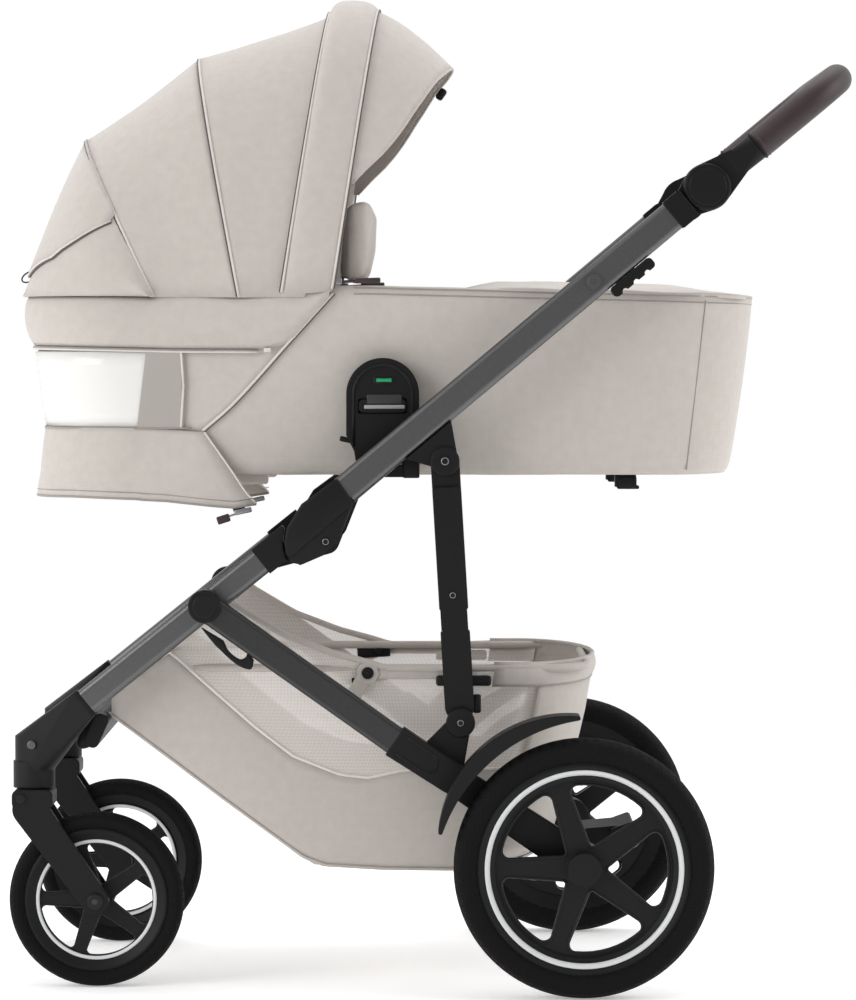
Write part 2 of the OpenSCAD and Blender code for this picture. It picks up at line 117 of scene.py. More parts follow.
def cloth(name, color):
    """Plain woven cloth: two crossed thread waves and a soft cloudiness."""
    mat, tree, shader = new_material(name, color, 0.9)
    shader.inputs["Sheen Weight"].default_value = 0.25
    shader.inputs["Sheen Roughness"].default_value = 0.5
    vary_color(tree, shader, color, 90.0, 0.035)
    noise = texture(tree, "ShaderNodeTexNoise", Scale=14.0, Detail=3.0)
    soft = bump_from(tree, shader, noise.outputs["Fac"], 0.25, 0.004)
    for direction in ("X", "Z"):
        wave = texture(tree, "ShaderNodeTexWave", Scale=150.0, Distortion=1.5)
        wave.bands_direction = direction
        soft = bump_from(tree, shader, wave.outputs["Fac"], 0.25, 0.0003, soft)
    return mat


def plastic(name, color, roughness):
    """Moulded plastic with a fine grain and softened edges."""
    mat, tree, shader = new_material(name, color, roughness)
    shader.inputs["Specular IOR Level"].default_value = 0.22
    edge = add(tree, "ShaderNodeBevel", Radius=0.003)
    edge.samples = 4
    noise = texture(tree, "ShaderNodeTexNoise", Scale=900.0, Detail=2.0)
    bump_from(tree, shader, noise.outputs["Fac"], 0.12, 0.0004, edge.outputs["Normal"])
    return mat


def brushed(name, color, roughness):
    """Anodised tube with a fine brushing."""
    mat, tree, shader = new_material(name, color, roughness, 0.85)
    noise = texture(tree, "ShaderNodeTexNoise", Scale=700.0, Detail=3.0)
    bump_from(tree, shader, noise.outputs["Fac"], 0.06, 0.0003)
    vary_color(tree, shader, color, 260.0, 0.05)
    return mat


def leather(name, color):
    """Grained leather, its grain a cell pattern."""
    mat, tree, shader = new_material(name, color, 0.48)
    cells = texture(tree, "ShaderNodeTexVoronoi", Scale=650.0)
    bump_from(tree, shader, cells.outputs["Distance"], 0.35, 0.0006)
    vary_color(tree, shader, color, 60.0, 0.14)
    return mat


def tyre_rubber(name, color):
    """Foamed rubber with a fine pebbled surface."""
    mat, tree, shader = new_material(name, color, 0.82)
    shader.inputs["Specular IOR Level"].default_value = 0.12
    cells = texture(tree, "ShaderNodeTexVoronoi", Scale=230.0, Randomness=0.15)
    bump_from(tree, shader, cells.outputs["Distance"], 0.55, 0.0016)
    return mat


def mesh_cloth(name, color, cover, pitch, film):
    """Open mesh that lets some light through its holes.

    cover is the share of thread, and film is how much a hole still covers.
    """
    mat, tree, shader = new_material(name, color, 0.85)
    part = texture(tree, "ShaderNodeSeparateXYZ")
    size, unrolled = (tree.nodes.new("ShaderNodeMath") for _ in range(2))
    size.operation, unrolled.operation = "ABSOLUTE", "SUBTRACT"
    flat = tree.nodes.new("ShaderNodeCombineXYZ")
    dots = add(tree, "ShaderNodeTexVoronoi", Scale=pitch, Randomness=0.0)
    dots.voronoi_dimensions = "2D"
    for source, target in (
        (part.outputs["Y"], size.inputs[0]), (part.outputs["X"], unrolled.inputs[0]),
        (size.outputs["Value"], unrolled.inputs[1]), (unrolled.outputs["Value"], flat.inputs["X"]),
        (part.outputs["Z"], flat.inputs["Y"]), (flat.outputs["Vector"], dots.inputs["Vector"]),
    ):
        tree.links.new(source, target)
    start = 0.42 - 0.3 * (cover - 0.5)
    threads = two_stops(tree, dots.outputs["Distance"], (start, start + 0.08), ((film,) * 3, (1, 1, 1)))
    tree.links.new(threads, shader.inputs["Alpha"])
    return mat


def smooth_finish(name, color, roughness, metallic=0.0, alpha=1.0):
    """A smooth surface without grain, for rings, pins and clear film."""
    mat, _, shader = new_material(name, color, roughness, metallic)
    shader.inputs["Alpha"].default_value = alpha
    return mat


# every look, by a short name
TAUPE = (0.51, 0.468, 0.433)
M = {
    "cloth": cloth("taupe_cloth", TAUPE),
    "basket": cloth("basket_cloth", (0.46, 0.42, 0.388)),
    "seam": cloth("seam_cloth", (0.3, 0.27, 0.25)),
    "shade": cloth("shade_cloth", (0.09, 0.08, 0.075)),
    "piping": cloth("piping_cloth", (0.64, 0.6, 0.56)),
    "white": cloth("mattress_cloth", (0.85, 0.84, 0.81)),
    "mesh": mesh_cloth("basket_mesh", (0.72, 0.67, 0.63), 0.6, 620.0, 0.5),
    "vent_mesh": mesh_cloth("vent_mesh", (0.4, 0.37, 0.34), 0.8, 900.0, 0.85),
    "black": plastic("black_plastic", (0.005, 0.005, 0.0055), 0.5),
    "gloss": plastic("satin_black", (0.009, 0.009, 0.0095), 0.3),
    "grey": plastic("release_grey", (0.04, 0.04, 0.042), 0.4),
    # the release bar's pale grey: partly its own grey and partly a painted highlight
    "grey_and_painted_highlight": plastic("release_grey_and_painted_highlight", (0.3, 0.3, 0.31), 0.3),
    "metal": brushed("gunmetal", (0.125, 0.125, 0.127), 0.36),
    # the same gunmetal made darker for the rear legs: painted shade, as they face away from the light
    "shaded_metal": brushed("gunmetal_painted_shade", (0.055, 0.055, 0.056), 0.36),
    "leather": leather("brown_leather", (0.03, 0.016, 0.017)),
    "thread": cloth("thread", (0.05, 0.03, 0.03)),
    "tyre": tyre_rubber("tyre_rubber", (0.0055, 0.0055, 0.006)),
    "ring": smooth_finish("reflective_ring", (0.62, 0.63, 0.64), 0.3),
    "green": smooth_finish("indicator_green", (0.01, 0.3, 0.1), 0.3),
    "steel": smooth_finish("rivet_steel", (0.3, 0.3, 0.31), 0.35, metallic=0.9),
    "clear": smooth_finish("clear_window", (0.93, 0.92, 0.9), 0.12, alpha=0.75),
}

# the look of the CAD nodes that stay in view, by their slot
NODE_LOOK = {"metal": "metal", "black_plastic": "black", "cot_fabric": "cloth", "basket_fabric": "basket",
             "mattress_cover": "white", "grip_leather": "leather", "tyre": "tyre"}
for subpart in frame["record"]["subparts"]:
    node = frame["nodes"][subpart["node"]]
    # the rear legs take the darker copy of the gunmetal, a painted shade
    node_look = "shaded_metal" if subpart["node"] == "rear_legs" else NODE_LOOK[subpart["material_slot"]]
    node.data.materials.clear()
    node.data.materials.append(M[node_look])


# ---- making meshes, in millimetres


def shown(name, verts, faces, look, body):
    """A mesh object of millimetre points that rides on a body and takes that look."""
    mesh = bpy.data.meshes.new(name)
    mesh.from_pydata([tuple(c * 0.001 for c in v) for v in verts], [], faces)
    mesh.update()
    mesh.materials.append(M[look])
    mesh.polygons.foreach_set("use_smooth", [True] * len(mesh.polygons))
    obj = bpy.data.objects.new(name, mesh)
    bpy.context.scene.collection.objects.link(obj)
    if body:
        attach(obj, body)
    return obj


def applied(obj):
    """The object with its modifiers made part of its mesh."""
    graph = bpy.context.evaluated_depsgraph_get()
    graph.update()
    made = bpy.data.meshes.new_from_object(obj.evaluated_get(graph))
    obj.modifiers.clear()
    obj.data = made
    return obj


def thicken(obj, mm, offset):
    """A sheet given its thickness: offset 1 outward, 0 both ways."""
    mod = obj.modifiers.new("thickness", "SOLIDIFY")
    mod.thickness = mm * 0.001
    mod.offset = offset
    return applied(obj)


def soften(obj):
    """One round of subdivision."""
    mod = obj.modifiers.new("smooth", "SUBSURF")
    mod.levels = 1
    mod.render_levels = 1
    return applied(obj)


def rounded(obj, mm):
    """Rounded edges of that radius."""
    mod = obj.modifiers.new("edge", "BEVEL")
    mod.width = mm * 0.001
    mod.segments = 3
    mod.limit_method = "ANGLE"
    return applied(obj)


def puffed(obj, voxel, most):
    """A padded form blown up a little by a cloth simulation. No point moves further than most, in metres."""
    remesh = obj.modifiers.new("remesh", "REMESH")
    remesh.mode = "VOXEL"
    remesh.voxel_size = voxel
    applied(obj)
    before = [v.co.copy() for v in obj.data.vertices]
    sim = obj.modifiers.new("cloth", "CLOTH")
    sim.settings.use_pressure = True
    sim.settings.uniform_pressure_force = 4.0
    sim.settings.effector_weights.gravity = 0
    sim.collision_settings.use_collision = False
    for frame_number in range(1, 21):
        bpy.context.scene.frame_set(frame_number)
    blown = obj.evaluated_get(bpy.context.evaluated_depsgraph_get()).data
    moved = [v.co.copy() for v in blown.vertices]
    obj.modifiers.remove(sim)
    bpy.context.scene.frame_set(1)
    for vertex, start, end in zip(obj.data.vertices, before, moved):
        step = end - start
        vertex.co = start + step * min(1, most / max(step.length, 1e-9))
    obj.data.polygons.foreach_set("use_smooth", [True] * len(obj.data.polygons))
    return soften(obj)


def grid(name, rows, look, body, closed=False, cap=False):
    """A surface through rows of points, all rows the same length. closed joins each row's ends."""
    n = len(rows[0])
    verts = [tuple(p) for row in rows for p in row]
    faces = []
    span = n if closed else n - 1
    for i in range(len(rows) - 1):
        for j in range(span):
            k = (j + 1) % n
            faces.append((i * n + j, i * n + k, (i + 1) * n + k, (i + 1) * n + j))
    if cap:
        faces.append(tuple(range((len(rows) - 1) * n, len(rows) * n)))
        faces.append(tuple(reversed(range(n))))
    return shown(name, verts, faces, look, body)


def sweep(name, path, radius, look, body, closed=False, flat=1.0, up=(0, 0, 1)):
    """A round or flattened strand along a path. radius is one value or one for each point."""
    path = [Vector(p) for p in path]
    count = len(path)
    radii = radius if hasattr(radius, "__len__") else [radius] * count
    sides = 10
    rows = []
    for i, p in enumerate(path):
        before = path[i - 1] if i or closed else p
        after = path[(i + 1) % count] if i < count - 1 or closed else p
        along = (after - before).normalized()
        side = along.cross(Vector(up))
        if side.length < 1e-3:
            side = along.cross(Vector((0, 1, 0)))
        side.normalize()
        top = side.cross(along).normalized()
        rows.append([
            p + side * math.cos(a) * radii[i] + top * math.sin(a) * radii[i] * flat
            for a in [2 * math.pi * k / sides for k in range(sides)]
        ])
    if closed:
        rows.append(rows[0])
    return grid(name, rows, look, body, closed=True, cap=not closed)


def disc(name, at, r, thick, look, body, axis_y, bevel=1.0, hollow=0.0):
    """A turned disc or ring on an axis along Y. at is its inner face's centre, axis_y is -1 or 1."""
    e = min(bevel, thick / 2)
    profile = [
        (hollow, 0), (r, 0), (r, thick - e), (r - e * 0.4, thick - e * 0.3), (r - e, thick), (hollow, thick),
    ]
    segments = 48
    rows = []
    for k in range(segments):
        a = 2 * math.pi * k / segments
        rows.append([
            (at[0] + math.cos(a) * q, at[1] + axis_y * t, at[2] + math.sin(a) * q) for q, t in profile
        ])
    rows.append(rows[0])
    obj = grid(name, rows, look, body)
    obj.data.polygons.foreach_set("use_smooth", [False] * len(obj.data.polygons))
    return obj


def brick(name, at, size, look, body, edge=2.0, turn=0.0):
    """A rounded block. turn is its slope in the side view, in degrees."""
    hx, hy, hz = (s / 2 for s in size)
    c, s = math.cos(math.radians(turn)), math.sin(math.radians(turn))
    verts = []
    for x in (-hx, hx):
        for y in (-hy, hy):
            for z in (-hz, hz):
                verts.append((at[0] + x * c - z * s, at[1] + y, at[2] + x * s + z * c))
    faces = [(0, 1, 3, 2), (4, 6, 7, 5), (0, 4, 5, 1), (2, 3, 7, 6), (0, 2, 6, 4), (1, 5, 7, 3)]
    return rounded(shown(name, verts, faces, look, body), edge)


def slab(name, outline, y0, y1, look, body, edge=1.5):
    """A flat plate with an outline in X and Z, between two values of Y."""
    n = len(outline)
    verts = [(x, y0, z) for x, z in outline] + [(x, y1, z) for x, z in outline]
    faces = [tuple(range(n)), tuple(reversed(range(n, 2 * n)))]
    faces += [(i, n + i, n + (i + 1) % n, (i + 1) % n) for i in range(n)]
    return rounded(shown(name, verts, faces, look, body), edge)


def smooth_line(points, steps=10):
    """A Catmull-Rom line through a few points."""
    p = [np.array(q, float) for q in points]
    p = [2 * p[0] - p[1]] + p + [2 * p[-1] - p[-2]]
    line = []
    for i in range(1, len(p) - 2):
        for t in np.linspace(0, 1, steps, endpoint=False):
            line.append(0.5 * (
                2 * p[i] + (p[i + 1] - p[i - 1]) * t
                + (2 * p[i - 1] - 5 * p[i] + 4 * p[i + 1] - p[i + 2]) * t * t
                + (3 * p[i] - p[i - 1] - 3 * p[i + 1] + p[i + 2]) * t ** 3
            ))
    line.append(p[-2])
    return line


# ---- camera, light and floor

camera = bpy.data.objects.new("camera", bpy.data.cameras.new("camera"))
bpy.context.scene.collection.objects.link(camera)
camera.data.lens = 155.4
camera.data.sensor_width = 36
camera.location = (0, -5.055, 0.7256)
aim = Vector((-0.0094, 0, 0.544))
camera.rotation_euler = (aim - camera.location).to_track_quat("-Z", "Y").to_euler()
bpy.context.scene.camera = camera


def area_light(name, at, toward, size, power):
    """A soft rectangular light that faces a point."""
    light = bpy.data.lights.new(name, "AREA")
    light.shape = "RECTANGLE"
    light.size, light.size_y = size
    light.energy = power
    obj = bpy.data.objects.new(name, light)
    obj.location = at
    obj.rotation_euler = (Vector(toward) - Vector(at)).to_track_quat("-Z", "Y").to_euler()
    bpy.context.scene.collection.objects.link(obj)


area_light("key", (-3.2, -2.2, 1.8), (0, 0, 0.6), (2.4, 2.4), 72)
area_light("fill", (3.4, -0.7, 1.8), (0, 0, 0.5), (2.4, 2.4), 45)
area_light("top", (0.2, 0.6, 3.6), (0, 0, 0.4), (2.6, 2.6), 34)
bpy.context.scene.view_settings.view_transform = "Standard"

# white studio, darker behind the camera so that the sides facing it read softly shaded
world = bpy.data.worlds.new("studio")
world.use_nodes = True
sky = world.node_tree
background = sky.nodes["Background"]
background.inputs["Color"].default_value = (1, 1, 1, 1)
split = sky.nodes.new("ShaderNodeSeparateXYZ")
sky.links.new(sky.nodes.new("ShaderNodeTexCoord").outputs["Generated"], split.inputs["Vector"])
dimming = add(sky, "ShaderNodeMapRange", From_Min=-1.0, From_Max=0.25, To_Min=0.4, To_Max=1.0)
sky.links.new(split.outputs["Y"], dimming.inputs["Value"])
sky.links.new(dimming.outputs["Result"], background.inputs["Strength"])
bpy.context.scene.world = world

# pale floor that fades into the white with distance
floor_mat, floor_tree, floor_shader = new_material("pale_floor", (0.9, 0.9, 0.9), 0.7)
floor_shader.inputs["Emission Color"].default_value = (1, 1, 1, 1)
floor_shader.inputs["Emission Strength"].default_value = 0.32
distance = texture(floor_tree, "ShaderNodeVectorMath")
distance.operation = "LENGTH"
fade = add(floor_tree, "ShaderNodeMapRange", From_Min=1.0, From_Max=4.5, To_Min=1.0, To_Max=0.0)
fade.interpolation_type = "SMOOTHSTEP"
floor_tree.links.new(distance.outputs["Value"], fade.inputs["Value"])
floor_tree.links.new(fade.outputs["Result"], floor_shader.inputs["Alpha"])
M["floor"] = floor_mat
floor_rows = [[(x * 1000, y * 1000, 0) for x in np.linspace(-6, 6, 7)] for y in (-6, 0, 6)]
floor = grid("floor", floor_rows, "floor", None)


# ---- carrycot

FOOT_X, HEAD_X = 364.0, -466.0
BASE_Z, RIM_Z = 580.0, 791.0
BAND_BASE = 779.0
WINDOW_LOW, WINDOW_HIGH = 633.0, 718.0


def plan(x0, x1, half, r):
    """The cot's outline in plan as points with outward normals, from the middle of the foot end."""
    points = []

    def line(a, b, normal, n):
        for t in np.linspace(0, 1, n, endpoint=False):
            points.append((a[0] + (b[0] - a[0]) * t, a[1] + (b[1] - a[1]) * t, *normal))

    def arc(cx, cy, start, n=16):
        for t in np.linspace(0, 1, n, endpoint=False):
            a = math.radians(start - 90 * t)
            points.append((cx + r * math.cos(a), cy + r * math.sin(a), math.cos(a), math.sin(a)))

    line((x1, 0), (x1, -(half - r)), (1, 0), 5)
    arc(x1 - r, -(half - r), 0)
    line((x1 - r, -half), (x0 + r, -half), (0, -1), 44)
    arc(x0 + r, -(half - r), -90)
    line((x0, -(half - r)), (x0, half - r), (-1, 0), 10)
    arc(x0 + r, half - r, 180)
    line((x0 + r, half), (x1 - r, half), (0, 1), 44)
    arc(x1 - r, half - r, 90)
    line((x1, half - r), (x1, 0), (1, 0), 5)
    return np.array(points)


def rim_height(x):
    """The rim falls slightly toward the foot."""
    return RIM_Z - 11 * np.clip((x + 68) / 432, 0, 1)


def cot_ring(t, out=0.0):
    """A level loop of the cot, t from 0 at the base to 1 at the rim."""
    belly = 2.5 * math.sin(math.pi * min(max(t, 0), 1))
    p = plan(-438 - 28 * t, 337 + 27 * t, 169 + 16 * t, 100 + 10 * t)
    x = p[:, 0] + p[:, 2] * (out + belly)
    y = p[:, 1] + p[:, 3] * (out + belly)
    z = BASE_Z + t * (rim_height(p[:, 0]) - BASE_Z)
    return np.stack([x, y, z], 1)


def cot_point(i, z, out=0.0):
    """The point of the cot's wall at place i of the outline and height z."""
    t = (z - BASE_Z) / (RIM_Z - BASE_Z)
    p = cot_ring(t, out)[i]
    return np.array([p[0], p[1], z])


def wall_at(side, x, z, out=0.0):
    """The point of the cot's side wall at that X and height."""
    ring = cot_ring((z - BASE_Z) / (RIM_Z - BASE_Z), out)
    half = ring[ring[:, 1] * side > 0]
    half = half[np.argsort(half[:, 0])]
    return np.array([x, np.interp(x, half[:, 0], half[:, 1]), z])


OUTLINE = plan(HEAD_X, FOOT_X, 185, 110)


def around_head(x_limit):
    """Places of the outline from one side, round the head end, to the other, up to x_limit."""
    return [i for i in range(len(OUTLINE)) if OUTLINE[i][0] <= x_limit]


def along_side(side, x_low, x_high):
    """Places of the outline along one side, from the head toward the foot."""
    places = [
        i for i in range(len(OUTLINE))
        if OUTLINE[i][1] * side > 0 and x_low <= OUTLINE[i][0] <= x_high
    ]
    return sorted(places, key=lambda i: OUTLINE[i][0])


def cot_patch(name, places, low, high, out, rows, look, thick):
    """A piece laid on the cot's wall between two heights, each a function of X.

    out is how far it stands off the wall, a value or a function of the share of its height.
    """
    made = []
    for t in np.linspace(0, 1, rows):
        row = []
        for i in places:
            x = OUTLINE[i][0]
            z = low(x) + (high(x) - low(x)) * t
            row.append(cot_point(i, z, out(t) if callable(out) else out))
        made.append(row)
    return thicken(grid(name, made, look, "carrycot"), thick, 1)


def wrinkled(obj, size, amount):
    """Small cloth unevenness along the normals."""
    tex = bpy.data.textures.new(obj.name, "CLOUDS")
    tex.noise_scale = size * 0.001
    mod = obj.modifiers.new("wrinkle", "DISPLACE")
    mod.texture = tex
    mod.texture_coords = "LOCAL"
    mod.strength = amount * 0.001
    mod.mid_level = 0.5
    return applied(obj)


# padded shell: up the inside, over the rim, down the outside and under
shell_rows = [cot_ring(t, -9) for t in (0.18, 0.5, 0.85, 0.97)]
shell_rows.append(cot_ring(1.0, -6) + [0, 0, 0.5])
shell_rows.append(cot_ring(1.0, -2.5) + [0, 0, 1.5])
shell_rows += [cot_ring(t) for t in np.linspace(1, 0.06, 16)]
shell_rows.append(cot_ring(0.02, -1.5))
shell_rows.append(cot_ring(0.0, -5) + [0, 0, -1.2])
shell_rows.append(cot_ring(0.0, -16) + [0, 0, -1.8])
cot = grid("cot_cloth", shell_rows, "cloth", "carrycot", closed=True, cap=True)
wrinkled(cot, 90, 1.6)
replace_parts(cot, "cot_body", "cot_rim")

# two stitched lines along the rim, over the foot half
for k, drop in enumerate((1, 8)):
    corners = {}
    for side in SIDES.values():
        places = along_side(side, -106, 366)
        stitches = [cot_point(i, rim_height(OUTLINE[i][0]) - drop, 0.6) for i in places]
        sweep(f"rim_seam_{k}_{side + 1}", stitches, 0.8, "seam", "carrycot")
        corners[side] = stitches[-1]
    foot_line = [corners[-1], (corners[-1] + corners[1]) / 2 * [1, 0, 1], corners[1]]
    sweep(f"rim_seam_end_{k}", foot_line, 0.8, "seam", "carrycot")

# upright seams that close the foot end
for side in SIDES.values():
    upright = [wall_at(side, 283.6 + (z - 580) * 0.108, z, 0.5) for z in np.linspace(776, 584, 16)]
    sweep(f"foot_seam_{side + 1}", upright, 0.8, "seam", "carrycot")


# base band that the hood stands in, round the head half: it ends along the side's diagonal seam
DIAGONAL = [(-116, 784), (-164, 731), (-224.6, 663.6), (-263.8, 628.6)]


def band_low(x):
    """The lower edge of the band."""
    return float(np.interp(x, [-480, -300, -194, -170, -164, -116], [725, 721, 720.5, 727, 731, 784]))


def band_high(x):
    """The upper edge of the band."""
    return float(np.interp(x, [-480, -300, -160, -116], [782, 779, 784, 790]))


def swell(t):
    """How far the padded band stands off the wall, t from its lower to its upper edge."""
    return 3 + 8 * math.sin(math.pi * t) ** 0.7


band = cot_patch("hood_band", around_head(-116), band_low, band_high, swell, 11, "cloth", 2.5)
wrinkled(band, 60, 1.0)
zip_places = around_head(-192)
band_zip = [cot_point(i, band_low(OUTLINE[i][0]) - 1.2, 4.0) for i in zip_places]
sweep("hood_band_zip", band_zip, 1.5, "seam", "carrycot", flat=0.7)
band_lip = [cot_point(i, band_low(OUTLINE[i][0]) - 3.2, 4.5) for i in zip_places]
sweep("hood_band_lip", band_lip, 1.2, "piping", "carrycot")

# vent window round the head end: clear ahead, mesh behind, with its zip
window = around_head(-310)
for name, out, look in (("vent_clear", 3.2, "clear"), ("vent_back", 1.6, "vent_mesh")):
    cot_patch(name, window, lambda x: WINDOW_LOW, lambda x: WINDOW_HIGH, out, 6, look, 0.8)
zip_low = [cot_point(i, WINDOW_LOW - 1.5, 4.0) for i in around_head(-286)]
sweep("vent_zip_low", zip_low, 1.2, "seam", "carrycot")
for side in SIDES.values():
    mesh_end = []
    for z in np.linspace(632, 719, 8):
        ahead = -338 + 11 * (z - 632) / 87
        mesh_end.append([wall_at(side, x, z, 4.2) for x in np.linspace(ahead, -287, 8)])
    grid(f"vent_mesh_{side + 1}", mesh_end, "vent_mesh", "carrycot")
    vent_end = [wall_at(side, -285 - 3 * abs(z - 680) / 45, z, 3.4) for z in np.linspace(632, 720, 12)]
    sweep(f"vent_end_{side + 1}", vent_end, 1.5, "piping", "carrycot")
    sweep(f"vent_end_line_{side + 1}", [q + [2.4, 0, 0] for q in vent_end], 0.7, "seam", "carrycot")
    diagonal = smooth_line([wall_at(side, x, z, 2.6) for x, z in DIAGONAL])
    sweep(f"side_seam_{side + 1}", diagonal, 1.7, "piping", "carrycot")
    # a dark strand beside the diagonal piping: painted shade in the crease of the seam
    sweep(f"side_seam_shade_line_{side + 1}", [q + [1.9, 0, -1.2] for q in diagonal], 0.9, "shade", "carrycot")
    brick(f"band_slider_{side + 1}", wall_at(side, -190, 720, 5), (8, 3, 5), "piping", "carrycot", 1)

# the open vent flap hangs below its zip, cut away toward its corners
FLAP_END = [(-262, 627), (-229, 578), (-203, 546)]
FLAP_LOW = [(-480, 553), (-424, 554), (-309, 550), (-255, 544), (-215, 541), (-206, 546)]
FLAP_SIDE = -356
flap_places = around_head(-264)
flap_last = max(OUTLINE[i][0] for i in flap_places)
flap_rows = []
for t in np.linspace(0, 1, 14):
    row = []
    edge_x = np.interp(t, [0, 0.55, 1], [p[0] for p in FLAP_END])
    for i in flap_places:
        x, y = OUTLINE[i][:2]
        on_side = x > FLAP_SIDE
        if on_side:
            x = FLAP_SIDE + (x - FLAP_SIDE) * (edge_x - FLAP_SIDE) / (flap_last - FLAP_SIDE)
        low = np.interp(x, [p[0] for p in FLAP_LOW], [p[1] for p in FLAP_LOW])
        top = 632 - 5 * np.clip((x + 330) / 66, 0, 1)
        z = top + (low - top) * t
        flare = 7 * t * np.clip((-360 - x) / 80, 0, 1)
        out = 4 + 10 * math.sin(t * 1.7) + flare + math.sin(x * 0.045 + 3 * t)
        level = max(z, BASE_Z)
        p = wall_at(math.copysign(1, y), x, level, out) if on_side else cot_point(i, level, out)
        p[2] = z
        row.append(p)
    flap_rows.append(row)
flap = thicken(grid("vent_flap", flap_rows, "cloth", "carrycot"), 1.6, 0)
flap_hem = sweep("vent_flap_hem", flap_rows[-1], 1.5, "seam", "carrycot")
sweep("vent_flap_seam", [p * [1, 1.006, 1] + [0, 0, 7] for p in flap_rows[-1]], 0.5, "seam", "carrycot")
for side in SIDES.values():
    column = 0 if flap_rows[0][0][1] * side > 0 else -1
    corner = flap_rows[-1][column]
    sweep(f"vent_flap_edge_{side + 1}", [r[column] for r in flap_rows], 1.3, "piping", "carrycot")
    for part, shift, size, look, edge, turn in (
        ("slider", (-15, side, -8), (20, 4, 6), "steel", 1.5, 12),
        ("link", (-27, side * 1.5, -12.5), (8, 1.6, 2.4), "steel", 0.6, 18),
        ("puller", (-37, side * 2, -17), (15, 3, 9), "leather", 1.5, 18),
    ):
        brick(f"zip_{part}_{side + 1}", corner + shift, size, look, "carrycot", edge, turn)

# feet: pale pads ahead, black ones at the foot end
for side in SIDES.values():
    brick(f"front_pad_{side + 1}", (-211, side * 130, 573), (39, 24, 12), "piping", "carrycot", 3)
    brick(f"rear_pad_{side + 1}", (218, side * 130, 569), (21, 24, 13), "black", "carrycot", 1.5)
    brick(f"rear_pad_lip_{side + 1}", (219, side * 130, 563.5), (25, 22, 4), "black", "carrycot", 1.5)

# apron over the foot half, lower where the wind flap folds onto it
apron_rows = []
for x in np.linspace(-86, 363, 30):
    near = [abs(p[1]) for p in OUTLINE if p[0] >= -90 and abs(p[0] - x) < 9]
    half = max(near) if x < FOOT_X - 4 else 92
    row = []
    for u in np.linspace(-1, 1, 25):
        crown = 11 * (1 - u * u) * min(1, (364 - x) / 90) * np.clip((x - 5) / 70, 0.05, 1)
        rise = np.interp(x, [-86, 10, 70], [-4.5, -4, 2])
        ripple = 0.8 * math.sin(x * 0.06 + u * 5)
        row.append((x, u * (half - 1), rim_height(x) + rise + crown + ripple))
    apron_rows.append(row)
apron = thicken(grid("apron_cloth", apron_rows, "cloth", "carrycot"), 5, 1)
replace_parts(apron, "apron")
sweep("apron_front_piping", [(p[0], p[1], p[2] + 1) for p in apron_rows[0]], 2.0, "piping", "carrycot")

# upright wind flap: a soft pad that rolls back at its top, drawn in at its two ends
WIND_PROFILE = [
    (-86, 803), (-82, 810), (-76, 840), (-74, 882), (-76, 891), (-81, 893), (-93, 891), (-99, 886),
    (-101, 872), (-104, 830), (-107, 803), (-104, 799),
]
WIND_X, WIND_Z = -89, 850
wind_rows = []
for u in np.linspace(-1, 1, 33):
    shrink = 1 - 0.3 * max(0, abs(u) - 0.95) / 0.05
    row = []
    for x, z in WIND_PROFILE:
        drop = 3 * u * u * (z - 800) / 100
        wave = 0.6 * math.sin(u * 9 + z * 0.03)
        height = (z - WIND_Z) * (1 - 0.06 * (1 - shrink))
        row.append((WIND_X + (x - WIND_X) * shrink + wave, u * 163, WIND_Z + height - drop))
    wind_rows.append(row)
wind = puffed(grid("wind_flap_cloth", wind_rows, "cloth", "wind_flap", closed=True, cap=True), 0.005, 0.003)
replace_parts(wind, "wind_flap")

# zip tabs at the rim, and the zip that climbs the hood's opening
for side in SIDES.values():
    brick(f"zip_tab_{side + 1}", (-77, side * 190.5, 798), (29, 4, 6), "leather", "carrycot", 1.6, 2)
    brick(f"zip_tab_neck_{side + 1}", (-99, side * 190.5, 797), (16, 3, 3.4), "leather", "carrycot", 1, 4)
    brick(f"zip_slider_rim_{side + 1}", (-110, side * 191, 797), (8, 5, 7), "steel", "carrycot", 1.2)
    climb = [(-115 + 0.16 * dz, side * (189 - 0.1 * dz), 792 + dz) for dz in np.linspace(0, 88, 8)]
    sweep(f"opening_zip_{side + 1}", climb, 1.6, "shade", "hood_front", up=(1, 0, 0))


# ---- hood


def arch(foot, top, half, n, base=BAND_BASE, steps=48):
    """Points of a hood bow from the left rim over the top to the right rim.

    foot is its X at the rim, top its X and Z at the crown, and n how square its shoulders are.
    """
    points = []
    for k in range(steps + 1):
        a = math.pi * k / steps
        c, s = math.cos(a), math.sin(a)
        y = -half * math.copysign(abs(c) ** (2 / n), c)
        rise = abs(s) ** (2 / n)
        points.append(np.array([foot + (top[0] - foot) * rise, y, base + (top[1] - base) * rise]))
    return np.array(points)


def outward(p):
    """The direction from the hood's long axis to each point."""
    away = (p - [0, 0, BAND_BASE]) * [0, 1, 1]
    return away / np.maximum(np.linalg.norm(away, axis=-1, keepdims=True), 1)


def hood_cloth(name, a, b, sag, body):
    """Cloth between two bows. It sinks by sag halfway, or bulges where sag is negative."""
    rows = []
    for t in np.linspace(0, 1, 14):
        p = a * (1 - t) + b * t
        rows.append(p - outward(p) * sag * math.sin(math.pi * t))
    return wrinkled(thicken(grid(name, rows, "cloth", body), 2.2, 0), 55, 1.6)


BOW_FRONT = arch(-147, (-96, 1116), 193, 2.7)
BOW_MID = arch(-222, (-274, 1057), 193, 2.6)
BOW_REAR = arch(-318, (-406, 962), 188, 2.4)


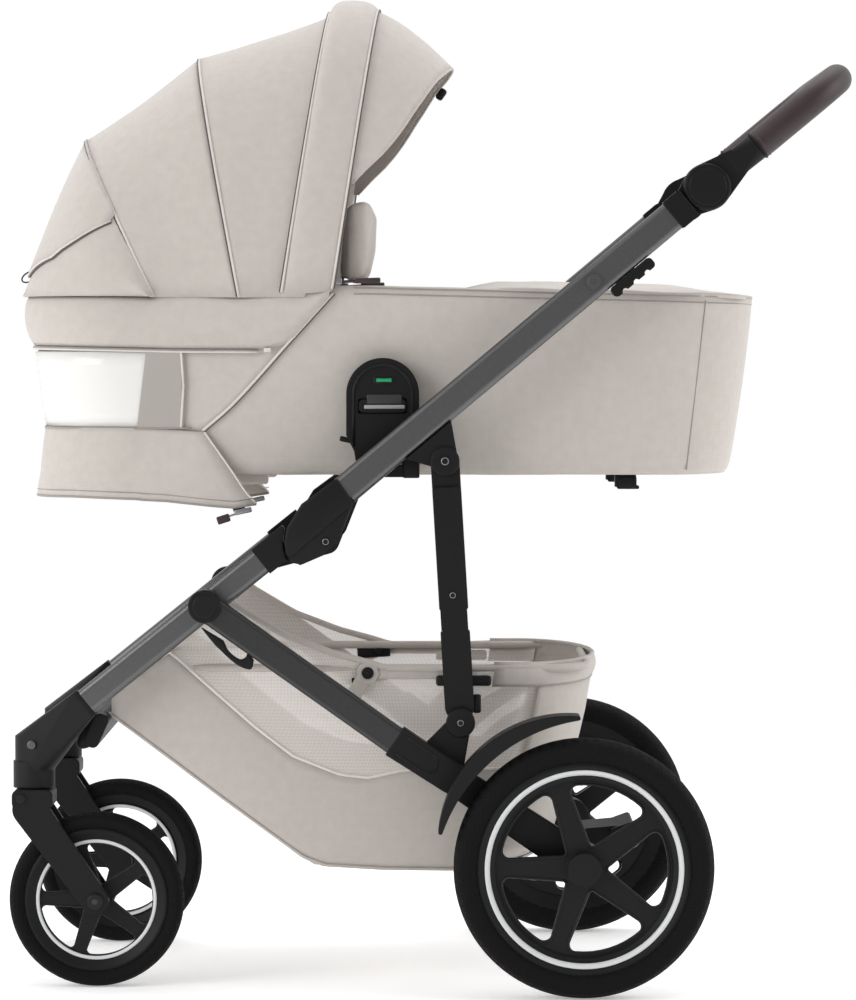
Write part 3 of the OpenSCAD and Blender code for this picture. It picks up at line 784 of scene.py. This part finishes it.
def tail_points():
    """The rim round the head end, matched to the places of a bow."""
    places = around_head(-318)
    path = np.array([
        [OUTLINE[i][0] + OUTLINE[i][2] * 9, OUTLINE[i][1] + OUTLINE[i][3] * 6, 781.0] for i in places
    ])
    if path[0][1] > 0:
        path = path[::-1]
    run = np.concatenate([[0], np.cumsum(np.linalg.norm(np.diff(path, axis=0), axis=1))])
    at = np.linspace(0, run[-1], len(BOW_REAR))
    return np.stack([np.interp(at, run, path[:, c]) for c in range(3)], 1)


TAIL = tail_points()

front_panel = hood_cloth("hood_cloth_front", BOW_FRONT, BOW_MID, 3, None)
rear_panel = hood_cloth("hood_cloth_mid", BOW_MID, BOW_REAR, 3, None)
tail_panel = hood_cloth("hood_cloth_tail", BOW_REAR, TAIL, -10, "carrycot")
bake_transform(front_panel)
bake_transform(rear_panel)
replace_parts(front_panel, "hood_panel_front")
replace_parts(rear_panel, "hood_panel_rear")


def seam_pair(name, line, body, shift):
    """A pale piping with a dark strand beside it: painted shade in the crease of its seam."""
    sweep(name, line * [1, 1.005, 1] + [0, 0, 0.8], 1.5, "piping", body, up=(1, 0, 0))
    sweep(f"{name}_line", line * [1, 1.005, 1] + [shift, 0, 0.6], 0.9, "shade", body, up=(1, 0, 0))


seam_pair("hood_seam_mid", BOW_MID, "hood_mid", -2.2)
seam_pair("hood_seam_rear", BOW_REAR, "carrycot", -2.2)

# thick roll of cloth over the front bow, flat where it meets the rim
ROLL_STEPS = 56
ROLL_BACK = arch(-174, (-122, 1108), 193, 2.7, base=781, steps=ROLL_STEPS)
ROLL_FRONT = arch(-117, (-67, 1112), 191, 2.7, base=786, steps=ROLL_STEPS)
roll_rows = []
for i, (back, front) in enumerate(zip(ROLL_BACK, ROLL_FRONT)):
    height = math.sin(math.pi * i / ROLL_STEPS) ** 0.5
    middle = (back + front) / 2
    out = outward(middle)
    half_wide = np.linalg.norm(front - back) / 2
    ahead = (front - back) / (2 * half_wide)
    top = 5 + 11 * height
    ring = []
    for a in [2 * math.pi * k / 24 for k in range(24)]:
        c, d = math.cos(a), math.sin(a)
        c = math.copysign(abs(c) ** 0.75, c)
        thick = top if d > 0 else 12
        ring.append(middle + ahead * half_wide * c + out * thick * d * (1 - 0.22 * c))
    roll_rows.append(ring)
roll = grid("hood_roll", roll_rows, "cloth", "hood_front", closed=True, cap=True)
wrinkled(roll, 45, 1.0)
seam_pair("roll_seam_back", ROLL_BACK * [1, 1.012, 1] + [0, 0, 3], "hood_front", -2.0)
seam_pair("roll_seam_front", ROLL_FRONT * [1, 1.008, 1] + [0, 0, 2], "hood_front", 2.0)

# peak: from the roll to its own curved front edge
VISOR_LEVELS = [0, 0.1, 0.2, 0.3, 0.4, 0.6, 0.8, 0.9, 1]
VISOR_REACH = [3, 19, 36, 48, 56, 69, 79, 86, 91]
VISOR_FOOT, VISOR_TOP = 903, 1112
visor_base = [p for p in arch(-120, (-72, VISOR_TOP), 190, 2.7, steps=ROLL_STEPS) if p[2] > VISOR_FOOT]
visor_rows = []
for t in np.linspace(0, 1, 14):
    row = []
    for x, y, z in visor_base:
        level = (z - VISOR_FOOT) / (VISOR_TOP - VISOR_FOOT)
        ahead = float(np.interp(level, VISOR_LEVELS, VISOR_REACH))
        drop = 66 * level ** 2
        row.append((x + ahead * t, y * (1 - 0.1 * t * level), z - drop * t ** 1.4))
    visor_rows.append(row)
visor = thicken(grid("visor_cloth", visor_rows, "cloth", "hood_front"), 3.0, 0)
wrinkled(visor, 50, 1.2)
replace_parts(visor, "visor")
visor_hem = sweep("visor_hem", visor_rows[-1], 1.8, "cloth", "hood_front", up=(1, 0, 0))
tip = visor_rows[-1][len(visor_base) // 2]
brick("visor_tab", (tip[0] - 13, tip[1], tip[2] - 28), (9, 16, 14), "black", "hood_front", 3, -35)

# vent cover over the hood's tail: its lower edge rises from the tip to the sides
COVER_PLACES = [0, 0.15, 0.3, 0.5, 0.6, 0.66, 0.73]
COVER_REACH = [0.87, 0.88, 0.87, 0.7, 0.49, 0.3, 0]
cover_rows = []
for t in np.linspace(0, 1, 12):
    row = []
    for k, (bow_point, tail_point) in enumerate(zip(BOW_REAR, TAIL)):
        u = abs(k / (len(BOW_REAR) - 1) - 0.5) * 2
        if u > 0.74:
            continue
        s = t * float(np.interp(u, COVER_PLACES, COVER_REACH))
        p = bow_point * (1 - s) + tail_point * s
        row.append(p + outward(p) * (10 * math.sin(math.pi * s) + 3.0) + [-4 * s, 0, 2 * s])
    cover_rows.append(row)
cover = thicken(grid("hood_vent_cover", cover_rows, "cloth", "carrycot"), 1.8, 0)
cover_edge = cover_rows[-1]
sweep("hood_vent_piping", [p + [0, 0, -0.6] for p in cover_edge], 1.3, "piping", "carrycot", up=(1, 0, 0))
sweep("hood_vent_shade", [p + [0.8, 0, -2.4] for p in cover_edge], 1.2, "shade", "carrycot", up=(1, 0, 0))
cover_tip = cover_edge[len(cover_edge) // 2]
tail_loop = [
    cover_tip + [9 * math.cos(a) - 6, 4 * math.sin(a), 6 * math.sin(a) + 3 * math.cos(a) - 8]
    for a in np.linspace(0, 2 * math.pi, 18, endpoint=False)
]
sweep("tail_loop", tail_loop, 0.9, "black", "carrycot", closed=True)


# ---- basket

# half the basket's width, and in side view its floor, the edge of its cloth against the mesh, and its top
B_HALF = 197.0
LOW = [(-369, 310), (-330, 281), (-240, 213), (-150, 147), (-126, 138), (-60, 134), (20, 133), (112, 137)]
SPLIT = [
    (-369, 336), (-300, 380), (-253, 338), (-204, 295), (-161, 262), (-108, 241), (-76, 237.5), (-36, 246),
    (20, 250), (60, 247), (120, 252),
]
TOP = [
    (-369, 340), (-300, 392), (-258, 424), (-232, 435), (-173, 400), (-118, 379), (-77, 368), (-55, 361),
    (0, 360), (60, 362), (186, 365),
]
REAR_ROUND = 85.0
FRONT_END = -366.0
REAR_TOP = 350


def rear_reach(z):
    """How far back the basket reaches at height z: its rear wall leans out toward the rim."""
    return float(np.interp(z, [133, 138, 156, 225, 300, 356], [106, 118, 135, 154, 173, 183]))


def height_of(line, x):
    """The height of a drawn line at that X."""
    return float(np.interp(x, [q[0] for q in line], [q[1] for q in line]))


def wall_point(side, c, z, out=0.0):
    """A point of the basket's wall.

    c runs from 0 to 1 along the side, and from 1 to 2 round to the rear's middle.
    """
    straight = rear_reach(z) - REAR_ROUND
    if c <= 1:
        return (FRONT_END + c * (straight - FRONT_END), side * (B_HALF + out), z)
    a = (c - 1) * math.pi / 2
    return (straight + (REAR_ROUND + out) * math.sin(a), side * (B_HALF + out) * math.cos(a), z)


def wall_sheet(side, places, low, high, rows, bow):
    """Rows of wall points between two heights, each a function of the place c. bow is how far it sags in."""
    sheet = []
    for t in np.linspace(0, 1, rows):
        row = []
        for c in places:
            z = low(c) + max(high(c) - low(c), 1) * t
            row.append(wall_point(side, c, z, bow * math.sin(math.pi * t) * min(1, 8 * c)))
        sheet.append(row)
    return sheet


def meets(line, c):
    """The height at which place c of the wall meets a line drawn on it, found in a few steps."""
    z = 250.0
    for _ in range(6):
        z = height_of(line, wall_point(1, min(c, 1.2), z)[0])
    return z


def wall_low(c):
    """The wall's lower edge, just under the tray."""
    return meets(LOW, c) - 1


def wall_split(c):
    """The edge between the wall's cloth and its mesh."""
    return max(wall_low(c) + 2, meets(SPLIT, c))


def wall_top(c):
    """The wall's upper edge."""
    return meets(TOP, c)


# tray: the floor and the sloping front, turned up a little at its edges
tray_rows = []
for q in smooth_line([(x, 0, z) for x, z in LOW], 6):
    past = max(0, q[0] - (rear_reach(138) - REAR_ROUND)) / REAR_ROUND
    half = max(B_HALF * math.sqrt(max(0, 1 - past ** 2)), 20)
    row = []
    for u in np.linspace(-1, 1, 31):
        edge = max(0, (abs(u) - 0.86) / 0.14)
        billow = 3.0 * math.sin(q[0] * 0.03) * (1 - u * u)
        row.append((q[0], u * half, q[2] - 1 + 3 * edge ** 2.4 - billow * 0.4))
    tray_rows.append(row)
tray = thicken(grid("basket_tray", tray_rows, "basket", "front_frame"), 1.8, 0)
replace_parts(tray, "basket")

SIDE_PLACES = np.linspace(0, 1.18, 60)
REAR_PLACES = np.linspace(1.16, 2, 26)
HEM_PLACES = np.linspace(0.93, 2, 36)
HEM_LOW, HEM_TOP = 341, 366
for side in SIDES.values():
    tag = side + 1
    cloth_rows = wall_sheet(side, SIDE_PLACES, wall_low, wall_split, 10, 2.5)
    net_rows = wall_sheet(side, SIDE_PLACES, wall_split, wall_top, 8, -7)
    rear_rows = wall_sheet(side, REAR_PLACES, wall_low, lambda c: REAR_TOP, 10, 1.5)
    cloth_side = thicken(grid(f"basket_side_{tag}", cloth_rows, "basket", "front_frame"), 1.6, 0)
    cloth_rear = thicken(grid(f"basket_rear_{tag}", rear_rows, "basket", "front_frame"), 1.6, 0)
    net = grid(f"basket_mesh_{tag}", net_rows, "mesh", "front_frame")
    hem_rows = wall_sheet(side, HEM_PLACES, lambda c: HEM_LOW, lambda c: HEM_TOP, 7, 3)
    bottom = [wall_point(side, c, wall_low(c) + 3, 1.4) for c in SIDE_PLACES]
    rim_line = [wall_point(side, c, wall_top(c)) for c in SIDE_PLACES]
    sweep(f"basket_piping_{tag}", cloth_rows[-1], 2.0, "piping", "front_frame")
    sweep(f"basket_low_seam_{tag}", bottom, 0.7, "seam", "front_frame")
    sweep(f"basket_rim_{tag}", rim_line, 3.8, "basket", "front_frame")

    # padded hem round the rear half, with a roll on top and a seam under it
    thicken(grid(f"basket_hem_{tag}", hem_rows, "basket", "front_frame"), 3, 0)
    for part, z, out, radius, look in (
        ("roll", HEM_TOP, 0, 2.6, "basket"), ("seam", HEM_LOW, 2, 0.7, "seam"),
    ):
        hem_line = [wall_point(side, c, z, out) for c in HEM_PLACES]
        sweep(f"basket_hem_{part}_{tag}", hem_line, radius, look, "front_frame")

    # rounded tab with its snap and stud, a stack of three discs
    out = B_HALF + 1.5
    for part, r, thick, look, bevel in (
        ("tab", 12.5, 2.2, "basket", 1), ("snap", 6.8, 2, "black", 1), ("stud", 2.8, 1, "gloss", 0.5),
    ):
        disc(f"basket_{part}_{tag}", (-77, side * out, 356), r, thick, look, "front_frame", side, bevel)
        out += thick

    # the strap beside it and the two black clips
    for part, at, size, look, edge, turn in (
        ("tail", (-86, B_HALF + 1.8, 342), (17, 2.4, 26), "basket", 1.1, -30),
        ("strap", (-24, B_HALF, 355), (90, 3, 11), "basket", 1.2, 0),
        ("clip", (31, B_HALF + 3.5, 347.5), (62, 8, 12), "black", 3, 0),
        ("plate", (-76, B_HALF - 5, 355), (40, 3, 19), "black", 1.2, 4),
    ):
        brick(f"basket_{part}_{tag}", (at[0], side * at[1], at[2]), size, look, "front_frame", edge, turn)
    screw_at = (-70, side * (B_HALF - 6.5), 354)
    disc(f"basket_screw_{tag}", screw_at, 4.5, 1.6, "gloss", "front_frame", -side, 0.8)


# ---- wheels


def arc_about(x, z, r, start, end):
    """Seven points of an arc, from one angle to another in degrees."""
    return [(x + r * math.cos(a), z + r * math.sin(a)) for a in np.radians(np.linspace(start, end, 7))]


def opening_outline(r):
    """The edge of the opening along +X of the wheel's centre: three round corners and its outer arc."""
    x, z = r * 0.585 * math.cos(math.radians(23)), r * 0.585 * math.sin(math.radians(23))
    return [
        *arc_about(x, z, r * 0.065, 23, 125),
        *arc_about(r * 0.205, 0, r * 0.03, 127, 233),
        *arc_about(x, -z, r * 0.065, 235, 337),
        *arc_about(0, 0, r * 0.65, -18, 18),
    ]


def ring_on(name, body, at, r, w, axis_y, span):
    """The bright ring on one face of a wheel of radius r and width w.

    span is its inner and outer radius, as shares of r.
    """
    x, y, z = at
    inner, outer = span
    middle = (inner + outer) / 2
    lip = [(inner, -1.5), (inner, 0.3), (middle, 0.9), (outer, 0.3), (outer, -1.5)]
    rows = []
    for a in np.linspace(0, 2 * math.pi, 97):
        row = []
        for q, e in lip:
            face = w * (0.24 + 0.16 * min(max((q - 0.68) / 0.11, 0), 1)) + 0.7
            row.append((x + math.cos(a) * r * q, y + axis_y * (face + e), z + math.sin(a) * r * q))
        rows.append(row)
    grid(name, rows, "ring", body)


def rim_beads(name, body, at, r, w, axis_y, bead):
    """A rounded bead round each of the five openings, which catches the light."""
    for k in range(5):
        turned = math.radians(71.5 + 72 * k)
        c, s = math.cos(turned), math.sin(turned)
        path = [
            (at[0] + c * u - s * v, at[1] + axis_y * (w * 0.17 - 0.4), at[2] + s * u + c * v)
            for u, v in opening_outline(r)
        ]
        sweep(f"{name}_bead_{k}", path, bead, "gloss", body, closed=True, up=(0, 1, 0))


def tyre_skin(name, node, body, at, r, w):
    """A round tyre with a smooth crown and notched shoulders, in place of the faceted one."""
    x, y, z = at
    half = [
        (0.82, -0.36), (0.86, -0.46), (0.905, -0.5), (0.95, -0.46), (0.98, -0.33), (0.995, -0.17), (1.0, 0),
    ]
    profile = half + [(q, -t) for q, t in reversed(half[:-1])]
    fine = [(q[0], q[1]) for q in smooth_line([(q, t, 0) for q, t in profile], 3)]
    steps = 4 * (72 if r > 120 else 60)
    rows = []
    for k in range(steps + 1):
        a = 2 * math.pi * k / steps
        row = []
        for q, t in fine:
            shoulder = max(0, 1 - abs(abs(t) - 0.3) / 0.16)
            notch = 0.016 * shoulder if k % 4 == 0 else 0.0
            out = r * min(q - notch, 1.0)
            row.append((x + math.cos(a) * out, y + w * t, z + math.sin(a) * out))
        row.append(row[0])
        rows.append(row)
    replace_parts(grid(name, rows, "tyre", body), node)


def joint_at(name):
    """A joint's place, in millimetres."""
    return [c * 1000 for c in JOINT[name]["pos_m"]]


REAR_R, REAR_WIDE, REAR_Y = 145, 48, 277
FRONT_R, FRONT_WIDE, FRONT_Y = 99, 34, 185
rear_axle = joint_at("rear_wheel_spin_left")
front_axle = joint_at("front_wheel_spin_left")
for name, side in SIDES.items():
    rear_centre = (rear_axle[0], side * REAR_Y, rear_axle[2])
    front_centre = (front_axle[0], side * FRONT_Y, front_axle[2])
    rear_body, front_body, fork_body = f"rear_wheel_{name}", f"front_wheel_{name}", f"caster_{name}"
    ring_on(f"rear_ring_{name}", rear_body, rear_centre, REAR_R, REAR_WIDE, side, (0.722, 0.762))
    rim_beads(f"rear_{name}", rear_body, rear_centre, REAR_R, REAR_WIDE, side, 1.7)
    hub_at = (rear_axle[0], side * (REAR_Y + 21.8), rear_axle[2])
    disc(f"rear_hub_{name}", hub_at, 19, 1.2, "black", rear_body, side)
    tyre_skin(f"rear_skin_{name}", f"rear_tyre_{name}", rear_body, rear_centre, REAR_R, REAR_WIDE)
    for face in (side, -side):
        ring_name = f"front_ring_{name}_{face + 1}"
        ring_on(ring_name, front_body, front_centre, FRONT_R, FRONT_WIDE, face, (0.65, 0.689))
    rim_beads(f"front_{name}", front_body, front_centre, FRONT_R, FRONT_WIDE, side, 1.2)
    tyre_skin(f"front_skin_{name}", f"front_tyre_{name}", front_body, front_centre, FRONT_R, FRONT_WIDE)
    for part, x, y, z, r, thick, look, bevel in (
        ("fork_bolt", front_axle[0], 213, front_axle[2], 9.5, 3.5, "gloss", 1.5),
        ("fork_pin", front_axle[0], 216.3, front_axle[2], 3.6, 1.2, "grey", 0.6),
        ("crown_bolt", -467, 213, 215, 5.5, 2.2, "gloss", 1),
    ):
        disc(f"{part}_{name}", (x, side * y, z), r, thick, look, fork_body, side, bevel)


# ---- frame details

fold = joint_at("fold")
leg = joint_at("rear_leg_fold")
hinge = joint_at("handle_angle")
strut_top = joint_at("strut_pivot_left")


def ring_pin(name, at, r, body, side):
    """The end of a pivot pin: a dark button in a thin bright ring."""
    disc(name, at, r, 1.6, "gloss", body, side, 0.8)
    proud = (at[0], at[1] + side, at[2])
    disc(f"{name}_ring", proud, r * 0.82, 0.9, "steel", body, side, 0.4, r * 0.62)


def sloped(degrees):
    """Unit directions along and across a slope in the side view."""
    c, s = math.cos(math.radians(degrees)), math.sin(math.radians(degrees))
    return np.array([c, 0, s]), np.array([-s, 0, c])


# outline of the tongue pressed into each rear casting: two sides along the leg and a round end
down, across = sloped(-33.5)
tongue_end = np.array([-46, 0, 284.4]) + down * 44
GROOVE = [tongue_end - down * t + across * 11 for t in (36, 24, 12)]
GROOVE += [
    tongue_end + down * 11 * math.sin(a) + across * 11 * math.cos(a) for a in np.linspace(0, math.pi, 13)
]
GROOVE += [tongue_end - down * t - across * 11 for t in (12, 24, 36)]

# side view of the fold housing's cover, and of the thicker part over its upper edge
HOUSING_HEAD = [(-111, 577), (-92, 549.5)]
HOUSING_BACK = [(-168, 492), (-169.5, 505), (-167, 521), (-150.5, 548)]
HOUSING_LOW = [(-105.7, 515), (-112, 502), (-125, 491), (-150.5, 480), (-162, 482.5)]
HOUSING = HOUSING_HEAD + HOUSING_LOW + HOUSING_BACK
UPPER = HOUSING_HEAD + [(-100, 541), (-163, 487)] + HOUSING_BACK
for name, side in SIDES.items():
    slab(f"housing_cover_{name}", HOUSING, side * 236, side * 241.6, "black", "push_frame", 2.2)
    slab(f"housing_ridge_{name}", UPPER, side * 238, side * 243.4, "black", "push_frame", 2.4)
    ring_pin(f"fold_pin_{name}", (fold[0], side * 241.6, fold[2]), 4.4, "push_frame", side)
    strut = f"strut_{name}"
    for part, (x, z), y, r, thick, look, body, bevel in (
        ("leg_cap", leg[::2], 263.3, 18.3, 1.6, "black", "front_frame", 1.4),
        ("leg_cap_ring", leg[::2], 264.2, 13.5, 1.1, "gloss", "front_frame", 0.8),
        ("head_cap", hinge[::2], 235, 26.3, 4.5, "black", "handle", 2.2),
        ("head_cap_ring", hinge[::2], 239, 21.5, 1.4, "gloss", "handle", 1),
        ("strut_head", strut_top[::2], 239.2, 16.4, 2.6, "black", strut, 1.4),
    ):
        disc(f"{part}_{name}", (x, side * y, z), r, thick, look, body, side, bevel)
    ring_pin(f"strut_pin_{name}", (strut_top[0], side * 241.8, strut_top[2]), 5.4, strut, side)
    brick(f"strut_button_{name}", (46, side * 230, 324), (9, 9, 21), "black", strut, 2.5)
    ring_pin(f"strut_rivet_{name}", (18.7, side * 238.4, 446), 4.2, strut, side)
    disc(f"strut_foot_{name}", (27.5, side * 243.1, 303.5), 16.4, 2.6, "black", strut, side, 1.6)
    ring_pin(f"strut_foot_pin_{name}", (27.5, side * 245.7, 303.5), 4.4, strut, side)
    groove = [p + [0, side * 259.2, 0] for p in GROOVE]
    sweep(f"casting_groove_{name}", groove, 1.1, "gloss", "rear_frame", up=(0, 1, 0))
    disc(f"housing_bolt_{name}", (-455, side * 213.5, 276), 4.8, 2.2, "metal", "front_frame", side)
    boss_at = (175.3, side * 242.4, 795.9)
    disc(f"boss_dimple_{name}", boss_at, 6.2, 0.7, "metal", "push_frame", side, 0.5, 3.5)
    for part, (x, y, z), size, look, body, edge, turn in (
        ("indicator", (-58.5, 203.8, 686), (17, 1.6, 4), "green", "carrycot", 0.6, 0),
        ("indicator_frame", (-58.5, 203.4, 686), (24, 1.4, 9), "gloss", "carrycot", 0.6, 0),
        ("shield_knob", (-101, 197, 619), (15, 6, 6), "black", "carrycot", 1.5, -12),
        # the release bar's pale colour is partly its own grey and partly a painted highlight
        ("release_face", (-58, 205.6, 656), (46, 3, 4.4), "grey_and_painted_highlight", f"release_{name}", 1.4, 0),
        ("release_window", (-58, 204.6, 664.5), (40, 2, 11), "grey", "carrycot", 1, 0),
        ("shield_block", (-28, 204, 591), (19, 8, 30), "black", "carrycot", 2, 0),
    ):
        brick(f"{part}_{name}", (x, side * y, z), size, look, body, edge, turn)
    crown = [(-60 + 33 * math.cos(a), 670 + 33 * math.sin(a)) for a in np.linspace(0, math.pi, 17)]
    lip = [(x, side * 203.6, z) for x, z in [(-27, 612), *crown, (-93, 612)]]
    sweep(f"shield_lip_{name}", lip, 1.8, "gloss", "carrycot", up=(0, 1, 0))

# black hook under each rear leg, close to its pivot
HOOK_OUTER = [(-262, 0, 411), (-252, 0, 398), (-242, 0, 387), (-223, 0, 370), (-207, 0, 364), (-203, 0, 374)]
HOOK_INNER = [(-210, 0, 383), (-213, 0, 377), (-220, 0, 375.5), (-231, 0, 384), (-237, 0, 396)]
hook = [(q[0], q[2]) for q in smooth_line(HOOK_OUTER, 5) + smooth_line(HOOK_INNER, 4)]
for name, side in SIDES.items():
    slab(f"leg_hook_{name}", hook, side * 244, side * 254, "black", "rear_frame", 2)

# rounded cover along the crossbar between the two front castings
COVER = [
    (-371, 309), (-372, 298), (-374.5, 289), (-381, 279), (-391, 270.5), (-400, 267.5), (-406, 269),
    (-408, 275), (-403, 290), (-393, 305), (-382, 311),
]
slab("crossbar_cover", COVER, -178, 178, "black", "front_frame", 3)

# seams of the leather and the black ring that ends it
along, above = sloped(39.6)


def grip_ring(at, r):
    """A circle square to the handle's arm, so its points lie along Y and above."""
    turns = np.linspace(0, 2 * math.pi, 30, endpoint=False)
    return [at + r * (math.cos(a) * np.array([0, 1, 0]) + math.sin(a) * above) for a in turns]


for name, side in SIDES.items():
    start = np.array([hinge[0], side * 224, hinge[2]]) + along * 72
    for part, shift, r, strand, look in (
        ("end", 1.2, 16.4, 1.6, "black"), ("stitch", 6, 17.0, 0.7, "thread"),
    ):
        circle = grip_ring(start + along * shift, r)
        sweep(f"grip_{part}_{name}", circle, strand, look, "handle", closed=True, up=tuple(along))
    grip_seam = [start + along * t + [0, -side * 16.9, 0] for t in np.linspace(4, 84, 20)]
    sweep(f"grip_seam_{name}", grip_seam, 0.6, "thread", "handle")
